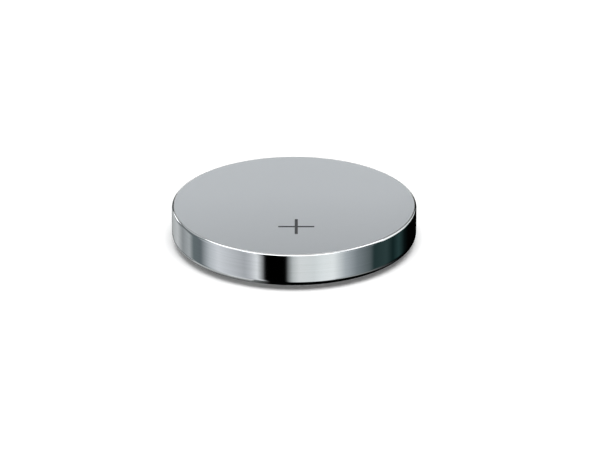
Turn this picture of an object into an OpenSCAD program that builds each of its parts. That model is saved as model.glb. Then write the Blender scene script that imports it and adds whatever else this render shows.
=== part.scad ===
// Lithium coin cell, 20 mm across and 3.2 mm high, lying on its negative contact.
// A drawn steel can is curled over a plastic gasket, which grips the skirt of a
// stepped steel cap. The lithium disc, the separator and the pressed cathode are
// stacked between the two. Every piece is turned about Z from its half section,
// which is drawn with the radius along X and the height along Y.

/* [Cell] */
// Diameter over the can
cell_d = 20; // [16:0.1:30]
// Height from the negative contact to the positive one
cell_h = 3.2; // [2.8:0.1:6]
// Clearance round the gasket and the cathode, where curved faces meet
fit_gap = 0.02; // [0.01:0.01:0.04]

/* [Positive can] */
// Thickness of the can's steel
can_t = 0.25; // [0.15:0.01:0.35]
// Outside radius of the edge between the can's face and its wall
can_edge_r = 0.2; // [0.05:0.05:0.4]
// Height of the curled edge above the surface that the cell lies on
curl_lift = 0.35; // [0.1:0.05:0.5]
// Angle that the curled edge turns through, past the straight wall
curl_turn = 130; // [115:5:150]

/* [Negative cap] */
// Thickness of the cap's steel
cap_t = 0.25; // [0.15:0.01:0.35]
// Outside radius of the edge round the contact face
cap_edge_r = 0.35; // [0.1:0.05:0.5]
// Outside radius of the shoulder between the cap's flange and its skirt
shoulder_r = 0.3; // [0.1:0.05:0.4]
// Radius of the inward bend between the cap's neck and its flange
bend_r = 0.1; // [0.05:0.05:0.2]

/* [Gasket] */
// Thickness of the gasket between the can's wall and the cap's skirt
gasket_t = 0.35; // [0.25:0.05:0.5]
// Thickness of the gasket's foot, between the skirt's edge and the can
foot_t = 0.3; // [0.15:0.05:0.5]
// Thickness of the gasket's inner lip, inside the skirt
lip_t = 0.35; // [0.2:0.05:0.5]
// Height of the inner lip below the foot
lip_h = 0.9; // [0.3:0.1:1]
// Width of the gap between can and cap, where the gasket shows
seal_show = 0.2; // [0.1:0.05:0.3]

/* [Electrodes] */
// Thickness of the lithium disc
anode_h = 0.6; // [0.3:0.05:0.9]
// Gap between the lithium disc and the cap's neck
anode_gap = 0.55; // [0.3:0.05:1]
// Thickness of the separator
separator_h = 0.15; // [0.05:0.05:0.3]
// Gap between the separator and the cap's neck
separator_gap = 0.15; // [0.1:0.05:0.25]
// Radius of the edge round the cathode pellet
pellet_edge_r = 0.15; // [0.1:0.05:0.3]

/* [Cathode ring] */
// Thickness of the ring's steel
ring_t = 0.15; // [0.1:0.05:0.25]
// Height of the ring's wall
ring_h = 1; // [0.5:0.1:1.3]
// Width of the ring's flange, over the wall
ring_w = 1.4; // [0.6:0.1:3]
// Outside radius of the edge between the ring's flange and its wall
ring_edge_r = 0.2; // [0.05:0.05:0.25]
// Gap between the ring and the gasket's inner lip
ring_gap = 0.6; // [0.3:0.1:1]

/* [Hidden] */
// Segments of a full turn, and of the small circles in a section
turn_fn = 180;
section_fn = 72;
// How far a cut runs past the face that it opens
over = 0.5;
// How far two areas of one section run into each other
lap = 0.02;

// The can: its wall, the underside of its face, and the curl's centre, which lies
// on the skirt's own radius, because the can's edge is rolled round the gasket there
can_r = cell_d / 2;
plate_z = cell_h - can_t;
curl_r = can_t + gasket_t;
curl_x = can_r - curl_r;
curl_z = curl_lift + curl_r;
mouth_r = curl_x + curl_r * cos(curl_turn);
mouth_z = curl_z - curl_r * sin(curl_turn);

// The cap: its skirt inside the gasket, its flange level with the curl's centre,
// and its neck inside the can's mouth
skirt_r = curl_x;
skirt_top = plate_z - foot_t;
flange_z = curl_z;
neck_r = mouth_r - seal_show;
cap_in_r = neck_r - cap_t;

// The gasket's outer wall and inner lip
seal_r = can_r - can_t - fit_gap;
lip_in_r = skirt_r - cap_t - lip_t;

// The stack inside, from the cap upwards
anode_r = cap_in_r - anode_gap;
separator_r = cap_in_r - separator_gap;
separator_z = cap_t + anode_h;
cathode_z = separator_z + separator_h;
ring_r = lip_in_r - ring_gap;
ring_hole_r = ring_r - ring_w;
pellet_r = ring_r - ring_t - fit_gap;

// Turns a half section about the cell's axis
module turned() {
    rotate_extrude($fn = turn_fn) children();
}

// Area between two radii and two heights
module band(r0, r1, z0, z1) {
    translate([r0, min(z0, z1)]) square([r1 - r0, abs(z1 - z0)]);
}

// Area from the axis out to r, flat at height z0, with a rounded rim at height z1
module rimmed_block(r, z0, z1, rim) {
    rim_z = z1 > z0 ? z1 - rim : z1 + rim;
    band(0, r - rim, z0, z1);
    band(0, r, z0, rim_z);
    if (rim > 0) translate([r - rim, rim_z]) circle(rim, $fn = section_fn);
}

// Part of a ring of thickness t inside radius r, from angle a0 to angle a1, cut out
// by a wedge that reaches well past the ring
module arc_band(r, t, a0, a1) {
    reach = 2 * r;
    wedge = [for (a = [a0, (a0 + a1) / 2, a1]) reach * [cos(a), sin(a)]];
    intersection() {
        difference() {
            circle(r, $fn = section_fn);
            circle(r - t, $fn = section_fn);
        }
        polygon(concat([[0, 0]], wedge));
    }
}

// The can's half section: a drawn cup, with its open edge curled round the gasket
module can_section() {
    difference() {
        rimmed_block(can_r, curl_z, cell_h, can_edge_r);
        rimmed_block(can_r - can_t, curl_z - over, plate_z, max(can_edge_r - can_t, 0));
    }
    translate([curl_x, curl_z]) arc_band(curl_r, can_t, -curl_turn, 0);
}

// All that lies inside the cap's outer skin, taken in by inset, up to height top
module cap_outline(inset, top) {
    rimmed_block(neck_r - inset, top, inset, max(cap_edge_r - inset, 0));
    rimmed_block(skirt_r - inset, top, flange_z + inset, max(shoulder_r - inset, 0));
    difference() {
        band(neck_r - inset - lap, neck_r + bend_r, flange_z - bend_r, flange_z + inset + lap);
        translate([neck_r + bend_r, flange_z - bend_r]) circle(bend_r + inset, $fn = section_fn);
    }
}

// The gasket's half section: the room between the can and the cap, out to a small
// bead in the can's mouth, and a lip inside the skirt. The side of its tongue runs
// along the end of the curl, which points at the curl's centre
module gasket_section() {
    end_slope = curl_turn - 90;
    end_gap = fit_gap / cos(end_slope);
    tongue_top_r = curl_x - end_gap;
    tongue_r = tongue_top_r - (curl_z - mouth_z) * tan(end_slope);
    bead_r = seal_show / 2 - fit_gap;
    difference() {
        union() {
            band(lip_in_r, seal_r, curl_z, plate_z);
            translate([curl_x, curl_z]) circle(seal_r - curl_x, $fn = section_fn);
            polygon([[neck_r, mouth_z], [tongue_r, mouth_z], [tongue_top_r, curl_z], [neck_r, curl_z]]);
            translate([mouth_r - seal_show / 2, mouth_z]) circle(bead_r, $fn = section_fn);
        }
        cap_outline(-fit_gap, skirt_top);
    }
    band(lip_in_r, skirt_r - cap_t - fit_gap, skirt_top - lip_h, plate_z);
}

module positive_can() {
    color("#b6babc") turned() can_section();
}

module negative_cap() {
    color("#c3c6c8") turned() difference() {
        cap_outline(0, skirt_top);
        cap_outline(cap_t, skirt_top + over);
    }
}

module gasket() {
    color("#d9d7cf") turned() gasket_section();
}

module lithium_anode() {
    color("#a9abad") turned() band(0, anode_r, cap_t, separator_z);
}

module separator() {
    color("#f1f0ea") turned() band(0, separator_r, separator_z, cathode_z);
}

// The pellet is pressed into its ring, and its boss reaches the can through it
module cathode_pellet() {
    color("#2b2b2d") turned() {
        rimmed_block(pellet_r, cathode_z, plate_z - ring_t, pellet_edge_r);
        band(0, ring_hole_r - fit_gap, cathode_z, plate_z);
    }
}

// A ring of angle section, which holds the pellet's edge against the can's face
module cathode_ring() {
    wall_z = plate_z - ring_h;
    color("#9fa3a6") turned() difference() {
        rimmed_block(ring_r, wall_z, plate_z, ring_edge_r);
        rimmed_block(ring_r - ring_t, wall_z - over, plate_z - ring_t, max(ring_edge_r - ring_t, 0));
        band(0, ring_hole_r, wall_z - over, plate_z + over);
    }
}

positive_can();
negative_cap();
gasket();
lithium_anode();
separator();
cathode_pellet();
cathode_ring();
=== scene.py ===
# %% [markdown]
# # A lithium coin cell, dressed for its picture
#
# A coin cell is a shallow steel can, closed by a smaller steel cap with a plastic
# gasket squeezed between them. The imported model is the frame: it says how large each
# piece is and where it lies. This script turns finer copies of the three pieces that
# show, gives every piece the finish of the real material, and sets a small studio and a
# camera round the cell. A polished wall has hardly any colour of its own, so most of its
# look comes from what stands round it.

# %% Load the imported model
import math

import bmesh
import bpy
from mathutils import Matrix, Vector


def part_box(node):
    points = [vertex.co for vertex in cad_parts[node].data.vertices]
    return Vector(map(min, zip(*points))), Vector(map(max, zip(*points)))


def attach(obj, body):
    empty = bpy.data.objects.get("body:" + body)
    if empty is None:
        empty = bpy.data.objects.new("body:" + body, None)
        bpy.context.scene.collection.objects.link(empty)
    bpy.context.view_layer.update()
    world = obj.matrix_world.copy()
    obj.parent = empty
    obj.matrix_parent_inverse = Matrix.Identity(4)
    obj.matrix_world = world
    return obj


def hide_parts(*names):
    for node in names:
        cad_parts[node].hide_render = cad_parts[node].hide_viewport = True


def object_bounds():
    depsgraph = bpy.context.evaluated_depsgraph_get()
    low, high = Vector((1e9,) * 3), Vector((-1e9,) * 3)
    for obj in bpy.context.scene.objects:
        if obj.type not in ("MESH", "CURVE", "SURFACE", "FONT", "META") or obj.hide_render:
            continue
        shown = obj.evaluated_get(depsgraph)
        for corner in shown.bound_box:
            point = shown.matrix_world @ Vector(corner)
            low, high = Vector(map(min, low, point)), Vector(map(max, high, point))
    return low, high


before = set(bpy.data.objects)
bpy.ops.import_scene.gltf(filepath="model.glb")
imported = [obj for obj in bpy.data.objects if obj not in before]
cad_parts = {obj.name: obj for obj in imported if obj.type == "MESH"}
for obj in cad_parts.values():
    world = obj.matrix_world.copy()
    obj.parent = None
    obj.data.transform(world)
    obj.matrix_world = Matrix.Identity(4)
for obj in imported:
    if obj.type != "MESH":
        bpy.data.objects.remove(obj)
cad_low, cad_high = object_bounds()
print("pieces in the frame:", sorted(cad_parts))

# %% [markdown]
# ## Helpers
#
# Three small functions do most of the repeated work. Colours are easiest to read as
# the hex values of a paint program, but a shader wants linear light, so one function
# turns the one into the other. One adds any node to a material, with its settings, its
# links and a ramp's stops, and one starts a material with its shader.

# %% Colours and nodes
MM = 0.001


def linear(hex_colour):
    """Turns an sRGB hex colour such as "#b4b7b9" into linear red, green, blue and 1."""
    channels = [int(hex_colour[i:i + 2], 16) / 255 for i in (1, 3, 5)]
    toe, slope = 0.04045, 12.92
    return [c / slope if c <= toe else ((c + 0.055) / 1.055) ** 2.4 for c in channels] + [1.0]


def add_node(tree, kind, inputs=None, stops=None, **settings):
    """Adds a node. An input is a value, or another node's output to link to it.

    Stops are for a colour ramp: places from 0 to 1, each with a hex colour.
    """
    node = tree.nodes.new(kind)
    for name, value in settings.items():
        setattr(node, name, value)
    for socket, value in (inputs or {}).items():
        if isinstance(value, bpy.types.NodeSocket):
            tree.links.new(value, node.inputs[socket])
        else:
            node.inputs[socket].default_value = value
    if stops:
        elements = node.color_ramp.elements
        elements.remove(elements[1])
        elements[0].position = stops[0][0]
        elements[0].color = linear(stops[0][1])
        for position, colour in stops[1:]:
            elements.new(position).color = linear(colour)
    return node


def start_material(name, **inputs):
    """Starts a material with one surface shader, and returns it with its tree and shader."""
    material = bpy.data.materials.new(name)
    material.use_nodes = True
    tree = material.node_tree
    shader = tree.nodes["Principled BSDF"]
    for socket, value in inputs.items():
        shader.inputs[socket.replace("_", " ")].default_value = value
    print("material", name)
    return material, tree, shader


print("middle grey in linear light:", [round(c, 3) for c in linear("#808080")])

# %% [markdown]
# ## The steel of the can
#
# The can is nickel-plated stainless steel, and the press leaves it with two finishes.
# Its face takes the fine matt grain of a blasted die, which spreads the light evenly.
# Its wall is drawn through a polished ring, and comes out almost a mirror, with faint
# lines running round it. The two are separate materials, because the border between
# them is sharp, at the rounded edge.
#
# The plus sign is the matt steel again, darkened, which reads as a crisp grey mark.
#
# The grain of a blasted die and the lines of drawing are about 0.05 mm, finer than a
# pixel of the picture, so both are drawn coarser here. The lines are a noise like the
# grain's, stretched fifty times across the cell's axis.

# %% Blasted steel, polished steel and the darkened mark
GRAIN = 0.09 * MM
DRAW_LINE = 0.14 * MM
LINE_STRETCH = 50


def blasted_steel(name, colour, roughness, relief):
    """Matt steel, from a blasted die: a soft even sheen with a fine grain."""
    material, tree, shader = start_material(name, Metallic=1.0, Roughness=roughness)
    shader.inputs["Base Color"].default_value = linear(colour)
    place = add_node(tree, "ShaderNodeTexCoord")
    grain = add_node(tree, "ShaderNodeTexNoise",
                     {"Vector": place.outputs["Object"], "Scale": 1 / GRAIN,
                      "Detail": 3.0, "Roughness": 0.6})
    bump = add_node(tree, "ShaderNodeBump",
                    {"Height": grain.outputs["Fac"], "Strength": 1.0, "Distance": relief})
    tree.links.new(bump.outputs["Normal"], shader.inputs["Normal"])
    return material


def polished_steel(name, dull, bright, roughness, relief):
    """Drawn and burnished steel: a mirror with faint lines that run round the can."""
    material, tree, shader = start_material(name, Metallic=1.0, Roughness=roughness)
    place = add_node(tree, "ShaderNodeTexCoord")
    stretch = add_node(tree, "ShaderNodeMapping",
                       {"Vector": place.outputs["Object"],
                        "Scale": (1 / LINE_STRETCH, 1 / LINE_STRETCH, 1.0)})
    lines = add_node(tree, "ShaderNodeTexNoise",
                     {"Vector": stretch.outputs["Vector"], "Scale": 1 / DRAW_LINE, "Detail": 3.0})
    streaks = add_node(tree, "ShaderNodeValToRGB", {"Fac": lines.outputs["Fac"]},
                       stops=[(0.3, dull), (0.7, bright)])
    bump = add_node(tree, "ShaderNodeBump",
                    {"Height": lines.outputs["Fac"], "Strength": 1.0, "Distance": relief})
    tree.links.new(streaks.outputs["Color"], shader.inputs["Base Color"])
    tree.links.new(bump.outputs["Normal"], shader.inputs["Normal"])
    return material


can_face_steel = blasted_steel("blasted_steel_face", "#dbe0e4", 0.36, 0.003 * MM)
can_wall_steel = polished_steel("drawn_steel_wall", "#dcdfe0", "#e1e4e6", 0.06, 0.0004 * MM)
mark_steel = blasted_steel("darkened_steel_mark", "#57595c", 0.5, 0.004 * MM)

# %% [markdown]
# ## Drawing a half section
#
# Every piece is turned, so each is drawn as a half section in the XZ plane, starting
# from a single vertex. Extruding the vertex draws a straight line and spinning it about
# a centre draws an arc, as a pen and a compass would. A second spin about the cell's own
# axis then makes the solid.
#
# Smooth shading bends the light near each corner of a mesh. Each straight line
# therefore gets a short hold at both ends: an extra ring close to the corner, which
# keeps the bend in the corner and the flat faces flat.

# %% Pen, compass and lathe
ARC_STEP = 7.5
TURN_STEPS = 288
HOLD = 0.02 * MM
MERGE = 0.0005 * MM
SHARP_ANGLE = 35


def line_to(bm, tip, r, z):
    """Extrudes the tip in a straight line, with a hold near each end if there is room."""
    start, end = tip.co.copy(), Vector((r, 0, z))
    along = (end - start).normalized() * HOLD
    stops = [start + along, end - along, end] if (end - start).length > 4 * HOLD else [end]
    for stop in stops:
        tip = bmesh.ops.extrude_vert_indiv(bm, verts=[tip])["verts"][0]
        tip.co = stop
    return tip


def arc_about(bm, tip, r, z, degrees):
    """Spins the tip about a centre, clockwise for positive degrees, seen with +X right and +Z up."""
    steps = max(2, math.ceil(abs(degrees) / ARC_STEP))
    made = bmesh.ops.spin(bm, geom=[tip], cent=(r, 0, z), axis=(0, 1, 0),
                          angle=math.radians(degrees), steps=steps)
    return next(part for part in made["geom_last"] if isinstance(part, bmesh.types.BMVert))


def turn(bm):
    """Spins the drawn section once about the cell's axis, and closes its seam and poles."""
    bmesh.ops.spin(bm, geom=bm.verts[:] + bm.edges[:], cent=(0, 0, 0), axis=(0, 0, 1),
                   angle=math.tau, steps=TURN_STEPS, use_merge=True)
    bmesh.ops.remove_doubles(bm, verts=bm.verts, dist=MERGE)
    bmesh.ops.recalc_face_normals(bm, faces=bm.faces)


def finish_piece(name, bm, materials, node):
    """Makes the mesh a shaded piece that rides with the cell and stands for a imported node."""
    mesh = bpy.data.meshes.new(name)
    bm.to_mesh(mesh)
    bm.free()
    for material in materials:
        mesh.materials.append(material)
    mesh.shade_smooth()
    mesh.set_sharp_from_angle(angle=math.radians(SHARP_ANGLE))
    piece = bpy.data.objects.new(name, mesh)
    bpy.context.scene.collection.objects.link(piece)
    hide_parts(node)
    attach(piece, "root")
    print(name, "has", len(mesh.polygons), "faces")
    return piece


flat_gap = 1 - math.cos(math.pi / TURN_STEPS)
print(f"a turned wall departs from round by {100 * flat_gap:.4f} % of its radius")

# %% [markdown]
# ## The can
#
# The can starts as a drawn cup, and its open edge is then curled inwards over the
# gasket. Its radius and heights come from the frame. The sheet's thickness and the
# radii of its bends are the model's own.

# %% Sizes of the can and its curl
CAN_SHEET = 0.25 * MM
CAN_EDGE = 0.20 * MM
GASKET_WALL = 0.35 * MM
CURL_TURN = 130

can_low, can_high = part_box("positive_can")
can_r, can_top = can_high.x, can_high.z
curl_r = CAN_SHEET + GASKET_WALL
curl_x, curl_z = can_r - curl_r, can_low.z + curl_r
lip_x, lip_z = math.cos(math.radians(CURL_TURN)), -math.sin(math.radians(CURL_TURN))
mouth_r, mouth_z = curl_x + curl_r * lip_x, curl_z + curl_r * lip_z
plate_z = can_top - CAN_SHEET
print(f"can {2 * can_r / MM:.2f} mm across, mouth {2 * mouth_r / MM:.2f} mm across")

# %% Turn the can
bm = bmesh.new()
face_r = can_r - CAN_EDGE - HOLD
tip = bm.verts.new((face_r, 0, can_top))
tip = line_to(bm, tip, can_r - CAN_EDGE, can_top)
tip = arc_about(bm, tip, can_r - CAN_EDGE, can_top - CAN_EDGE, 90)
tip = line_to(bm, tip, can_r, curl_z)
tip = arc_about(bm, tip, curl_x, curl_z, CURL_TURN)
tip = line_to(bm, tip, curl_x + GASKET_WALL * lip_x, curl_z + GASKET_WALL * lip_z)
tip = arc_about(bm, tip, curl_x, curl_z, -CURL_TURN)
tip = line_to(bm, tip, can_r - CAN_SHEET, plate_z)
tip = line_to(bm, tip, 0, plate_z)
turn(bm)
open_edges = [e for e in bm.edges if e.is_boundary]
bmesh.ops.edgeloop_fill(bm, edges=open_edges)
print("corners round the flat face:", len(open_edges))

# %% [markdown]
# ## The polarity mark
#
# The plus sign is pressed into the face and darkened. A painted sign would look the
# same from above but would be missing from the exported shape, so it is cut into the
# mesh. The face is one flat polygon, which is sliced along the sign's eight edges, and
# the slices inside the sign are pushed down. The slices are large, and smooth shading
# would smear light across them, so they are shaded flat. The rest of the face stays bare.

# %% Slice the face along the sign's edges
FACE, WALL, MARK = 0, 1, 2
MARK_X, MARK_Y = 0.18 * MM, -4.47 * MM
MARK_SIZE = 2.9 * MM
MARK_STROKE = 0.24 * MM
MARK_DEPTH = 0.05 * MM
MARK_EDGE = 0.012 * MM


def face_slices():
    """The flat slices of the can's face, inside the ring at its rim."""
    flat = [f for f in bm.faces if all(abs(v.co.z - can_top) < MERGE for v in f.verts)]
    return [f for f in flat if f.calc_center_median().xy.length < face_r]


for axis, middle in ((Vector((1, 0, 0)), MARK_X), (Vector((0, 1, 0)), MARK_Y)):
    for offset in (-MARK_SIZE / 2, -MARK_STROKE / 2, MARK_STROKE / 2, MARK_SIZE / 2):
        slices = face_slices()
        edges = {e for f in slices for e in f.edges}
        corners = {v for f in slices for v in f.verts}
        bmesh.ops.bisect_plane(bm, geom=slices + list(edges) + list(corners),
                               plane_co=axis * (middle + offset), plane_no=axis)
for f in bm.faces:
    f.material_index = WALL
for f in face_slices():
    f.material_index = FACE
print("slices of the face:", len(face_slices()))


# %% Press the sign and finish the can
def in_mark(face):
    """Whether a slice of the face lies inside the plus sign."""
    middle = face.calc_center_median()
    near, far = sorted((abs(middle.x - MARK_X), abs(middle.y - MARK_Y)))
    return near < MARK_STROKE / 2 and far < MARK_SIZE / 2


def between(edge, slots):
    """Whether an edge parts faces of these two material slots."""
    return len(edge.link_faces) == 2 and {f.material_index for f in edge.link_faces} == slots


pressed = [f for f in face_slices() if in_mark(f)]
print("slices in the plus sign:", len(pressed))
pushed = bmesh.ops.extrude_face_region(bm, geom=pressed)["geom"]
bmesh.ops.delete(bm, geom=[f for f in pressed if f.is_valid], context="FACES_ONLY")
floor_corners = [part for part in pushed if isinstance(part, bmesh.types.BMVert)]
bmesh.ops.translate(bm, verts=floor_corners, vec=(0, 0, -MARK_DEPTH))
for f in {f for v in floor_corners for f in v.link_faces}:
    f.material_index = MARK
rim = [e for e in bm.edges if between(e, {FACE, MARK})]
bmesh.ops.bevel(bm, geom=rim, offset=MARK_EDGE, segments=2, profile=0.5, affect="EDGES", material=-1)
steel_can = finish_piece("steel_can", bm, [can_face_steel, can_wall_steel, mark_steel],
                         "positive_can")
for polygon in steel_can.data.polygons:
    polygon.use_smooth = polygon.material_index != FACE

# %% [markdown]
# ## The cap
#
# The cap is the cell's foot and its negative contact. It is pressed from the same
# steel: a flat contact face, a neck that passes the can's mouth, a flange, and a skirt
# up inside the gasket. Its contact face is finely pebbled, so that a spring bites on it,
# and looks satin. The rest is as smooth as the press left it, a little duller than the
# can's wall.

# %% Sizes and steel of the cap
CAP_SHEET = 0.25 * MM
CAP_EDGE = 0.35 * MM
SHOULDER = 0.30 * MM
NECK_BEND = 0.10 * MM
SEAL_SHOW = 0.20 * MM
CONTACT, PRESSED = 0, 1

skirt_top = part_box("negative_cap")[1].z
skirt_r = curl_x
flange_z = curl_z
neck_r = mouth_r - SEAL_SHOW
neck_bend_x, neck_bend_z = neck_r + NECK_BEND, flange_z - NECK_BEND
shoulder_x, shoulder_z = skirt_r - SHOULDER, flange_z + SHOULDER

cap_contact_steel = blasted_steel("pebbled_steel_contact", "#bfc2c4", 0.30, 0.012 * MM)
cap_neck_steel = polished_steel("pressed_steel_neck", "#cdd0d2", "#d8dbdd", 0.14, 0.0008 * MM)
print(f"neck {2 * neck_r / MM:.2f} mm across, skirt {2 * skirt_r / MM:.2f} mm across")

# %% Turn the cap
bm = bmesh.new()
tip = bm.verts.new((0, 0, 0))
tip = line_to(bm, tip, neck_r - CAP_EDGE, 0)
tip = arc_about(bm, tip, neck_r - CAP_EDGE, CAP_EDGE, -90)
tip = line_to(bm, tip, neck_r, neck_bend_z)
tip = arc_about(bm, tip, neck_bend_x, neck_bend_z, 90)
tip = line_to(bm, tip, shoulder_x, flange_z)
tip = arc_about(bm, tip, shoulder_x, shoulder_z, -90)
tip = line_to(bm, tip, skirt_r, skirt_top)
tip = line_to(bm, tip, skirt_r - CAP_SHEET, skirt_top)
tip = line_to(bm, tip, skirt_r - CAP_SHEET, shoulder_z)
tip = arc_about(bm, tip, shoulder_x, shoulder_z, 90)
tip = line_to(bm, tip, neck_bend_x, flange_z + CAP_SHEET)
tip = arc_about(bm, tip, neck_bend_x, neck_bend_z, -90)
tip = line_to(bm, tip, neck_r - CAP_SHEET, CAP_EDGE)
tip = arc_about(bm, tip, neck_r - CAP_EDGE, CAP_EDGE, 90)
tip = line_to(bm, tip, 0, CAP_SHEET)
turn(bm)
for f in bm.faces:
    f.material_index = CONTACT if all(v.co.z < MERGE for v in f.verts) else PRESSED
finish_piece("steel_cap", bm, [cap_contact_steel, cap_neck_steel], "negative_cap")

# %% [markdown]
# ## The gasket
#
# The gasket is moulded in natural polypropylene, which is milky: light enters it and
# comes out a little further on. That is what the shader's subsurface setting does. Only
# its lower bead shows, as a thin pale ring between the can's mouth and the cap's neck.

# %% Sizes and plastic of the gasket
CLEARANCE = 0.02 * MM
LIP_WALL, LIP_HEIGHT = 0.35 * MM, 0.9 * MM
MILKY_DEPTH = 0.3 * MM
SKIN_GRAIN = 0.15 * MM

seal_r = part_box("gasket")[1].x
lip_r = skirt_r - CAP_SHEET - LIP_WALL
lip_bottom = skirt_top - LIP_HEIGHT
bead_r = SEAL_SHOW / 2 - CLEARANCE
bead_x = mouth_r - SEAL_SHOW / 2
curl_fill = seal_r - curl_x
past_lip = math.degrees(math.asin(CLEARANCE / curl_fill))

polypropylene, tree, shader = start_material(
    "natural_polypropylene", Roughness=0.42, IOR=1.49,
    Subsurface_Weight=0.6, Subsurface_Scale=MILKY_DEPTH)
shader.inputs["Base Color"].default_value = linear("#dcdad2")
place = add_node(tree, "ShaderNodeTexCoord")
skin = add_node(tree, "ShaderNodeTexNoise",
                {"Vector": place.outputs["Object"], "Scale": 1 / SKIN_GRAIN, "Detail": 3.0})
bump = add_node(tree, "ShaderNodeBump", {"Height": skin.outputs["Fac"], "Distance": 0.004 * MM})
tree.links.new(bump.outputs["Normal"], shader.inputs["Normal"])
print(f"gasket {2 * seal_r / MM:.2f} mm across")

# %% Turn the gasket
bm = bmesh.new()
tip = bm.verts.new((lip_r, 0, lip_bottom))
tip = line_to(bm, tip, lip_r, plate_z)
tip = line_to(bm, tip, seal_r, plate_z)
tip = line_to(bm, tip, seal_r, curl_z)
tip = arc_about(bm, tip, curl_x, curl_z, CURL_TURN + past_lip)
tip = line_to(bm, tip, bead_x + bead_r, mouth_z)
tip = arc_about(bm, tip, bead_x, mouth_z, 180)
tip = line_to(bm, tip, neck_r + CLEARANCE, neck_bend_z)
tip = arc_about(bm, tip, neck_bend_x, neck_bend_z, 90)
tip = line_to(bm, tip, shoulder_x, flange_z - CLEARANCE)
tip = arc_about(bm, tip, shoulder_x, shoulder_z, -90)
tip = line_to(bm, tip, skirt_r + CLEARANCE, skirt_top)
tip = line_to(bm, tip, skirt_r - CAP_SHEET - CLEARANCE, skirt_top)
tip = line_to(bm, tip, skirt_r - CAP_SHEET - CLEARANCE, lip_bottom)
tip = line_to(bm, tip, lip_r, lip_bottom)
turn(bm)
finish_piece("seal_ring", bm, [polypropylene], "gasket")

# %% [markdown]
# ## The pieces inside
#
# The lithium, the separator, the cathode and its ring are sealed in and never show in
# the picture, but anyone who takes the cell apart sees them. Their shapes in the frame
# are right as they are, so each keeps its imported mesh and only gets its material. The
# ring is cut and pressed from rolled strip, which is greyer and duller than the can.

# %% Finish the cathode's ring
def dress(node, material):
    """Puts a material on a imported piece."""
    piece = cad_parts[node]
    piece.data.materials.clear()
    piece.data.materials.append(material)


dress("cathode_ring", polished_steel("rolled_steel_strip", "#a2a6a9", "#b0b4b7", 0.28, 0.0008 * MM))

# %% [markdown]
# ## The lithium
#
# Lithium foil is soft, and bright where it was just rolled. Its skin tarnishes in
# patches a few millimetres wide, which are darker and duller, so one soft noise sets
# both the colour and the roughness.

# %% Finish the lithium
TARNISH = 2.5 * MM

lithium_foil, tree, shader = start_material("lithium_foil", Metallic=1.0)
place = add_node(tree, "ShaderNodeTexCoord")
tarnish = add_node(tree, "ShaderNodeTexNoise",
                   {"Vector": place.outputs["Object"], "Scale": 1 / TARNISH, "Detail": 4.0})
tint = add_node(tree, "ShaderNodeValToRGB", {"Fac": tarnish.outputs["Fac"]},
                stops=[(0, "#8b8d90"), (1, "#c5c7c8")])
gloss = add_node(tree, "ShaderNodeMapRange",
                 {"Value": tarnish.outputs["Fac"], "To Min": 0.55, "To Max": 0.38})
tree.links.new(tint.outputs["Color"], shader.inputs["Base Color"])
tree.links.new(gloss.outputs["Result"], shader.inputs["Roughness"])
dress("lithium_anode", lithium_foil)

# %% [markdown]
# ## The separator and the cathode
#
# The separator is a white felt of plastic fibres, and the cathode is black powder pressed
# into a disc. Both are dull and uneven, with two tones that lie close together and a
# little relief. The felt's pattern is also distorted, so that it runs in strands.

# %% Finish the separator and the cathode
FIBRE = 0.12 * MM
GRIT = 0.1 * MM


def mottled(name, roughness, grain, dark, pale, relief, **noise):
    """A dull surface in two close tones with a slight relief, such as felt or pressed powder."""
    material, tree, shader = start_material(name, Roughness=roughness)
    place = add_node(tree, "ShaderNodeTexCoord")
    patches = add_node(tree, "ShaderNodeTexNoise",
                       {"Vector": place.outputs["Object"], "Scale": 1 / grain, **noise})
    tint = add_node(tree, "ShaderNodeValToRGB", {"Fac": patches.outputs["Fac"]},
                    stops=[(0, dark), (1, pale)])
    bump = add_node(tree, "ShaderNodeBump", {"Height": patches.outputs["Fac"], "Distance": relief})
    tree.links.new(tint.outputs["Color"], shader.inputs["Base Color"])
    tree.links.new(bump.outputs["Normal"], shader.inputs["Normal"])
    return material


dress("separator", mottled("nonwoven_separator", 0.9, FIBRE, "#d9d8d2", "#f7f6f2", 0.02 * MM,
                           Detail=6.0, Distortion=2.0))
dress("cathode_pellet", mottled("pressed_black_powder", 0.82, GRIT, "#1c1c1e", "#3a3a3c", 0.012 * MM,
                                Detail=5.0))

# %% [markdown]
# ## The table
#
# The cell lies on a white table that runs on past the picture. Its own colour and a
# little extra light for the camera alone make it paper white, while the cell still
# throws its shadow on it. Mirror rays pass through it, because in the picture the
# polished wall shows upright bands from far away and no table. It is clear from below,
# so that the underside of the cell can be looked at too.

# %% Lay the table
TABLE_HALF = 1.5
TABLE_GAP = 0.005 * MM
TABLE_LIFT = 0.08


def stage_piece(name, bm, material):
    """Makes the mesh a part of the studio, which doesn't belong to the cell."""
    mesh = bpy.data.meshes.new(name)
    bm.to_mesh(mesh)
    bm.free()
    mesh.materials.append(material)
    piece = bpy.data.objects.new(name, mesh)
    bpy.context.scene.collection.objects.link(piece)
    print("studio:", name)
    return piece


def seen_straight(tree):
    """The value 1 for rays from the camera, also by way of a mirror or glass, and 0 for light."""
    path = add_node(tree, "ShaderNodeLightPath")
    seen = path.outputs["Is Camera Ray"]
    for way in ("Is Glossy Ray", "Is Transmission Ray"):
        either = add_node(tree, "ShaderNodeMath", {0: seen, 1: path.outputs[way]}, operation="MAXIMUM")
        seen = either.outputs["Value"]
    return seen


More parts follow.
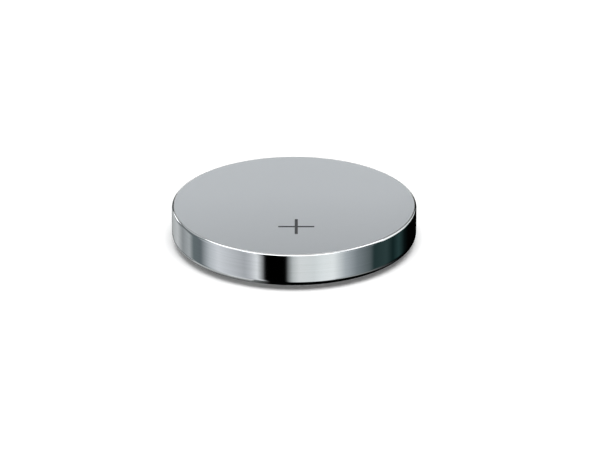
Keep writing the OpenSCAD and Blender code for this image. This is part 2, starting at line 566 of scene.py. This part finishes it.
table_paper = bpy.data.materials.new("white_paper_table")
table_paper.use_nodes = True
tree = table_paper.node_tree
tree.nodes.clear()
lift = add_node(tree, "ShaderNodeMath", {0: seen_straight(tree), 1: TABLE_LIFT}, operation="MULTIPLY")
paper = add_node(tree, "ShaderNodeBsdfDiffuse", {"Color": linear("#f4f4f4")})
glow = add_node(tree, "ShaderNodeEmission",
                {"Color": linear("#ffffff"), "Strength": lift.outputs["Value"]})
both = add_node(tree, "ShaderNodeAddShader", {0: paper.outputs["BSDF"], 1: glow.outputs["Emission"]})
side = add_node(tree, "ShaderNodeNewGeometry")
clear = add_node(tree, "ShaderNodeBsdfTransparent")
one_sided = add_node(tree, "ShaderNodeMixShader",
                     {0: side.outputs["Backfacing"], 1: both.outputs["Shader"], 2: clear.outputs["BSDF"]})
add_node(tree, "ShaderNodeOutputMaterial", {"Surface": one_sided.outputs["Shader"]})

bm = bmesh.new()
bmesh.ops.create_grid(bm, x_segments=1, y_segments=1, size=TABLE_HALF)
bmesh.ops.translate(bm, verts=bm.verts, vec=(0, 0, -TABLE_GAP))
table = stage_piece("table", bm, table_paper)
table.visible_glossy = False

# %% [markdown]
# ## Cards for the mirror
#
# A mirror shows its surroundings, so a photographer hangs pale and dark cards round a
# metal object until its bands fall well. A card here is a part of a ball round the
# cell, which glows evenly or is shaded from one place to another. Only mirror rays see
# it, so it neither shows nor throws a shadow.
#
# Angles are counted round the cell from the camera's side, and are positive to the
# right. Heights are angles above the table.

# %% Make and hang cards
CARD_STEPS = 24


def card_material(name, tone, level=1.0):
    """An evenly lit card."""
    material = bpy.data.materials.new(name)
    material.use_nodes = True
    tree = material.node_tree
    tree.nodes.clear()
    light = add_node(tree, "ShaderNodeEmission", {"Color": linear(tone), "Strength": level})
    add_node(tree, "ShaderNodeOutputMaterial", {"Surface": light.outputs["Emission"]})
    return material


def shaded_material(name, tone, along, places, levels):
    """A card whose light goes from one level to another along X, Y or Z, or outwards along R."""
    material = card_material(name, tone)
    tree = material.node_tree
    place = add_node(tree, "ShaderNodeTexCoord").outputs["Object"]
    if along == "R":
        measure = add_node(tree, "ShaderNodeVectorMath", {0: place}, operation="LENGTH").outputs["Value"]
    else:
        measure = add_node(tree, "ShaderNodeSeparateXYZ", {"Vector": place}).outputs[along]
    shade = add_node(tree, "ShaderNodeMapRange",
                     {"Value": measure, "From Min": places[0], "From Max": places[1],
                      "To Min": levels[0], "To Max": levels[1]})
    tree.links.new(shade.outputs["Result"], tree.nodes["Emission"].inputs["Strength"])
    return material


def mirror_only(piece):
    """Hides a card from all but mirror rays."""
    piece.visible_camera = piece.visible_diffuse = False
    piece.visible_shadow = piece.visible_transmission = False


def hang_card(name, material, radius, heights, sides=None):
    """Hangs a curved card between two heights, all round the cell or between two sides."""
    low, high = heights
    bm = bmesh.new()
    tip = bm.verts.new((radius * math.cos(math.radians(low)), 0, radius * math.sin(math.radians(low))))
    arc_about(bm, tip, 0, 0, low - high)
    if sides:
        bmesh.ops.spin(bm, geom=bm.verts[:] + bm.edges[:], cent=(0, 0, 0), axis=(0, 0, 1),
                       angle=math.radians(sides[1] - sides[0]), steps=CARD_STEPS)
        bmesh.ops.rotate(bm, verts=bm.verts, cent=(0, 0, 0),
                         matrix=Matrix.Rotation(math.radians(sides[0] - 90), 3, "Z"))
    else:
        turn(bm)
    mirror_only(stage_piece(name, bm, material))


print("steps across a curved card:", CARD_STEPS)

# %% [markdown]
# ## The striped tent
#
# The polished wall gets its bands from one striped tent, far enough away for the bands
# to stand upright on the wall. The wall's curve squeezes the whole tent into the half
# of the wall that shows, so a band on the tent is twice as far round as on the wall.
# The tones are set band by band, until the wall looks as it does in the picture, and run
# into each other between the stops.

# %% Hang the tent
TENT_R = 200 * MM
TENT_LOW, TENT_HIGH = -60, 48
# The tent's tones, each at an angle in degrees
PANELS = [
    (-180, "#030303"),
    (-172, "#202222"),
    (-164, "#a8acac"),
    (-140, "#cccecf"),
    (-127, "#989c9e"),
    (-120, "#a8acae"),
    (-114, "#b4b8ba"),
    (-107, "#6e787a"),
    (-96, "#6a7276"),
    (-84, "#c8ccd0"),
    (-74, "#e4e6ea"),
    (-56, "#caccd0"),
    (-46, "#b8babe"),
    (-41, "#c8cace"),
    (-34, "#f2f4f6"),
    (-26.5, "#000000"),
    (-7.2, "#000000"),
    (-1, "#ccd0d0"),
    (5, "#eceeee"),
    (18, "#e8ecec"),
    (26, "#f6fafa"),
    (36, "#fcffff"),
    (48, "#b8bec2"),
    (60, "#848c90"),
    (74, "#5c6668"),
    (79, "#283a3a"),
    (95, "#324444"),
    (104, "#142626"),
    (114, "#2c4242"),
    (124, "#0c1616"),
    (133, "#030303"),
]

striped_cloth = card_material("striped_tent_cloth", "#ffffff")
tree = striped_cloth.node_tree
place = add_node(tree, "ShaderNodeTexCoord")
parts = add_node(tree, "ShaderNodeSeparateXYZ", {"Vector": place.outputs["Object"]})
forward = add_node(tree, "ShaderNodeMath", {0: parts.outputs["Y"], 1: -1.0}, operation="MULTIPLY")
angle = add_node(tree, "ShaderNodeMath", {0: parts.outputs["X"], 1: forward.outputs["Value"]},
                 operation="ARCTAN2")
along = add_node(tree, "ShaderNodeMapRange",
                 {"Value": angle.outputs["Value"], "From Min": -math.pi, "From Max": math.pi})
tones = add_node(tree, "ShaderNodeValToRGB", {"Fac": along.outputs["Result"]},
                 stops=[(0.5 + degrees / 360, tone) for degrees, tone in PANELS])
tree.links.new(tones.outputs["Color"], tree.nodes["Emission"].inputs["Color"])
hang_card("striped_tent", striped_cloth, TENT_R, (TENT_LOW, TENT_HIGH))

# %% [markdown]
# ## Cards for the edge and the face
#
# What the rounded edge and the face show hangs higher up. A round panel over the cell
# draws the thin bright line along the edge. It is bright round its border and grey in
# the middle, or the face would turn white when it is seen from above, and a bright card
# in front helps it. White and pale cards on the right carry the line on towards the
# back. Grey ones on the left dull it, but for a white corner and one short gleam, and a
# black card ends it.
#
# The satin face blurs what it mirrors, so it takes its tone from the card straight
# behind it. That card is close, and shaded from bottom to top: the back of the face
# mirrors its lower part and the front its upper part, so the face shades off gently.

# %% Hang the overhead panel and stand the cards
PANEL_SHADE_Z = 168 * MM, 190 * MM
PANEL_LEVELS = 1.9, 0.4
FRONT_R = 190 * MM
WING_R = 150 * MM
GLEAM_R = 140 * MM
BACK_R = 36 * MM
BACK_SHADE_Z = 0, 26 * MM
BACK_LEVELS = 1.16, 0.25

# A card's name, material, colour, level, radius, heights and sides
CARDS = [
    ("front_card", "white_front_card", "#ffffff", 3.0, FRONT_R, (43, 64), (-58, 48)),
    ("right_card", "white_side_card", "#ffffff", 1.3, WING_R, (10, 48), (85, 122)),
    ("far_right_card", "pale_side_card", "#e4e6e6", 1.0, WING_R, (10, 48), (122, 150)),
    ("left_card", "grey_side_card", "#74787a", 1.0, WING_R, (2, 33), (-155, -100)),
    ("upper_left_card", "light_grey_side_card", "#c6cacc", 1.0, WING_R, (33, 48), (-155, -105)),
    ("short_left_card", "white_corner_card", "#ffffff", 1.4, WING_R, (40, 48), (-104, -70)),
    ("gleam_card", "small_white_card", "#ffffff", 2.0, GLEAM_R, (12, 26), (-147, -131)),
    ("dark_left_card", "black_side_card", "#181a1a", 1.0, GLEAM_R, (2, 22), (-172, -147)),
]

panel_cloth = shaded_material("white_diffuser_panel", "#ffffff", "Z", PANEL_SHADE_Z, PANEL_LEVELS)
hang_card("overhead_panel", panel_cloth, TENT_R, (TENT_HIGH, 90))
for name, material, tone, level, radius, heights, sides in CARDS:
    hang_card(name, card_material(material, tone, level), radius, heights, sides)
back_cloth = shaded_material("shaded_back_card", "#ffffff", "Z", BACK_SHADE_Z, BACK_LEVELS)
hang_card("back_card", back_cloth, BACK_R, (8, 48), (152, 208))

# %% [markdown]
# ## The foot
#
# The curled lower edge looks down on the table close to the cell. There it shows a
# thin pale line, which fades out at the right, over a dark one: the shadow under the
# cell, grey on the left and deep black on the right. Mirror rays pass through the
# table, so a few flat glowing cards just under it paint this strip: a painted reflection
# of the lit table and a painted shadow. One more lies deeper and hardly reaches past the
# cell, so that the underside alone mirrors it. It keeps the cap from going dark when the
# cell is seen from below.

# %% Lay flat cards
ROUND_STEPS = 128
RESTING_ON = 0.25 * MM


def clear_when_close(material):
    """Hides a card from what rests on it, so that the cap's underside doesn't mirror it."""
    tree = material.node_tree
    path = add_node(tree, "ShaderNodeLightPath")
    apart = add_node(tree, "ShaderNodeMath", {0: path.outputs["Ray Length"], 1: RESTING_ON},
                     operation="GREATER_THAN")
    clear = add_node(tree, "ShaderNodeBsdfTransparent")
    choice = add_node(tree, "ShaderNodeMixShader", {0: apart.outputs["Value"], 1: clear.outputs["BSDF"],
                                                    2: tree.nodes["Emission"].outputs["Emission"]})
    tree.links.new(choice.outputs["Shader"], tree.nodes["Material Output"].inputs["Surface"])


def lay_card(name, material, radius, depth, from_x, to_x, middle_y=0.0):
    """Lays a round card just under the table, trimmed to the strip between two X."""
    bm = bmesh.new()
    bmesh.ops.create_circle(bm, cap_ends=True, radius=radius, segments=ROUND_STEPS)
    bmesh.ops.translate(bm, verts=bm.verts, vec=(0, middle_y, -depth))
    for x, side in ((from_x, -1), (to_x, 1)):
        bmesh.ops.bisect_plane(bm, geom=bm.verts[:] + bm.edges[:] + bm.faces[:], plane_co=(x, 0, 0),
                               plane_no=(side, 0, 0), clear_outer=True)
    mirror_only(stage_piece(name, bm, material))


BELOW_R, BELOW_DEPTH = 11.2 * MM, 1 * MM
BELOW_LEVELS = 0.95, 0.5

below = shaded_material("pale_card_for_the_underside", "#ffffff", "Y", (-BELOW_R, BELOW_R), BELOW_LEVELS)
lay_card("card_below", below, BELOW_R, BELOW_DEPTH, -BELOW_R, BELOW_R)

# %% Materials of the contact cards
PALE_FROM, PALE_TO = 4 * MM, 10 * MM
# The painted reflection's tones, a pale line that fades into painted shade, each at a place along X in
# millimetres
PALE_TONES = [
    (4, "#c0c4c4"),
    (5, "#b0b4b4"),
    (6, "#989c9c"),
    (7, "#7c8080"),
    (7.8, "#606464"),
    (8.8, "#303434"),
    (9.2, "#000000"),
]
SHADE_FROM, SHADE_TO = 9.4 * MM, 10.35 * MM
SHADE_LEVELS = 0.05, 1.0
BLACK_LEFT, BLACK_FULL = -3.6 * MM, -2.1 * MM
BLACK_LEVELS = 1.0, 0.003

# Painted reflection: pale cards stand for the lit table that the curl mirrors.
pale = card_material("painted_table_reflection_fading", "#ffffff")
tree = pale.node_tree
place = add_node(tree, "ShaderNodeTexCoord")
parts = add_node(tree, "ShaderNodeSeparateXYZ", {"Vector": place.outputs["Object"]})
across = add_node(tree, "ShaderNodeMapRange",
                  {"Value": parts.outputs["X"], "From Min": PALE_FROM, "From Max": PALE_TO})
tones = add_node(tree, "ShaderNodeValToRGB", {"Fac": across.outputs["Result"]},
                 stops=[((x * MM - PALE_FROM) / (PALE_TO - PALE_FROM), tone) for x, tone in PALE_TONES])
tree.links.new(tones.outputs["Color"], tree.nodes["Emission"].inputs["Color"])

left_pale = card_material("painted_table_reflection_at_the_left", "#c8caca")
# Painted shadow: the dark card at the far left and the shaded card stand for the table's shadow, as the
# curl mirrors it.
left_dark = card_material("painted_shadow_at_the_far_left", "#3c3e3e")
left_shade = shaded_material("shaded_table_at_the_left", "#c8caca", "R",
                             (SHADE_FROM, SHADE_TO), SHADE_LEVELS)
# Painted shadow under the cell: a card from grey to black, for the curl to mirror.
black = shaded_material("painted_shadow_under_the_cell", "#7c7e7e", "X",
                        (BLACK_LEFT, BLACK_FULL), BLACK_LEVELS)
for material in (pale, left_pale, left_dark, left_shade, black):
    clear_when_close(material)
    print("contact card:", material.name)

# %% Lay the contact cards
PALE_DEPTH, SHADE_DEPTH, BLACK_DEPTH = 0.04 * MM, 0.03 * MM, 0.02 * MM
PALE_R, LEFT_PALE_R = 11.1 * MM, 10.65 * MM
LEFT_PALE_FROM, LEFT_PALE_TO = -9.1 * MM, -6 * MM
BLACK_R, BLACK_Y = 9.5 * MM, -1.2 * MM
CARD_END = 12 * MM

# The painted reflection of the lit table, at the right and at the left.
lay_card("painted_reflection_contact", pale, PALE_R, PALE_DEPTH, PALE_FROM, CARD_END)
lay_card("left_painted_reflection_contact", left_pale, LEFT_PALE_R, PALE_DEPTH, LEFT_PALE_FROM, LEFT_PALE_TO)
# Painted shadow at the far left and along the left, under the table.
lay_card("left_painted_shadow_contact", left_dark, LEFT_PALE_R, PALE_DEPTH, -CARD_END, LEFT_PALE_FROM)
lay_card("left_shade_contact", left_shade, SHADE_TO, SHADE_DEPTH, -CARD_END, BLACK_LEFT)
# The painted shadow under the cell, which the curl mirrors as its dark line.
lay_card("painted_shadow_contact", black, BLACK_R, BLACK_DEPTH, BLACK_LEFT, CARD_END, BLACK_Y)

# %% [markdown]
# ## Light
#
# One soft lamp hangs above, a little towards the camera. It lights the table and throws
# the close shadow, and everything that isn't metal takes its light from it. Mirror rays
# don't see it, so it leaves no spot on the steel. The room adds a little even light, and
# is white where it is seen.

# %% Hang the lamp and fill the room
LAMP_STRENGTH = 2.75
LAMP_WIDTH = 50
LAMP_TILT, LAMP_ASIDE = 15, 2
ROOM_FILL = 0.39

lamp = bpy.data.lights.new("soft_lamp", "SUN")
lamp.energy = LAMP_STRENGTH
lamp.angle = math.radians(LAMP_WIDTH)
lamp_object = bpy.data.objects.new("soft_lamp", lamp)
lamp_object.rotation_euler = (math.radians(LAMP_TILT), math.radians(LAMP_ASIDE), 0)
lamp_object.visible_glossy = False
bpy.context.scene.collection.objects.link(lamp_object)

world = bpy.data.worlds.new("white_room")
world.use_nodes = True
tree = world.node_tree
tree.nodes.clear()
strength = add_node(tree, "ShaderNodeMapRange", {"Value": seen_straight(tree), "To Min": ROOM_FILL})
room = add_node(tree, "ShaderNodeBackground",
                {"Color": linear("#ffffff"), "Strength": strength.outputs["Result"]})
add_node(tree, "ShaderNodeOutputWorld", {"Surface": room.outputs["Background"]})
bpy.context.scene.world = world
level = LAMP_STRENGTH * math.cos(math.radians(LAMP_TILT)) / math.pi + ROOM_FILL
print(f"a level white surface is lit to about {level:.2f}, where 1 is plain white")

# %% [markdown]
# ## Camera
#
# The ellipse of the can's face gives the camera's height, and the way its front edge is
# wider than its back gives the distance. The lens then follows from how many pixels a
# millimetre takes up.

# %% Place the camera
PICTURE_W, PICTURE_H = 600, 450
SENSOR_W = 36.0
CELL_PIXEL_X, CELL_PIXEL_Y = 294.13, 221.98
PIXELS_PER_MM = 12.215
CAMERA_ELEVATION = math.radians(24.21)
CAMERA_DISTANCE = 300 * MM

camera = bpy.data.cameras.new("camera")
camera.sensor_width = SENSOR_W
camera.lens = SENSOR_W * PIXELS_PER_MM * (CAMERA_DISTANCE / MM) / PICTURE_W
camera_object = bpy.data.objects.new("camera", camera)
bpy.context.scene.collection.objects.link(camera_object)
bpy.context.scene.camera = camera_object

back = Vector((0, -math.cos(CAMERA_ELEVATION), math.sin(CAMERA_ELEVATION)))
right = Vector((1, 0, 0))
up = back.cross(right)
middle = (cad_low + cad_high) / 2
aim_right = (PICTURE_W / 2 - CELL_PIXEL_X) / PIXELS_PER_MM * MM
aim_down = (PICTURE_H / 2 - CELL_PIXEL_Y) / PIXELS_PER_MM * MM
camera_object.location = middle + right * aim_right - up * aim_down + back * CAMERA_DISTANCE
camera_object.rotation_mode = "QUATERNION"
camera_object.rotation_quaternion = (-back).to_track_quat("-Z", "Y")
bpy.context.scene.view_settings.view_transform = "Standard"
print(f"lens {camera.lens:.1f} mm at {CAMERA_DISTANCE / MM:.0f} mm")

# %% [markdown]
# ## The size
#
# The dressed cell must be as large as the imported one. The imported cell's box is printed.

# %% Write the sizes and finish
print("box of the packed cell:", [round(v / MM, 3) for v in (*cad_low, *cad_high)])
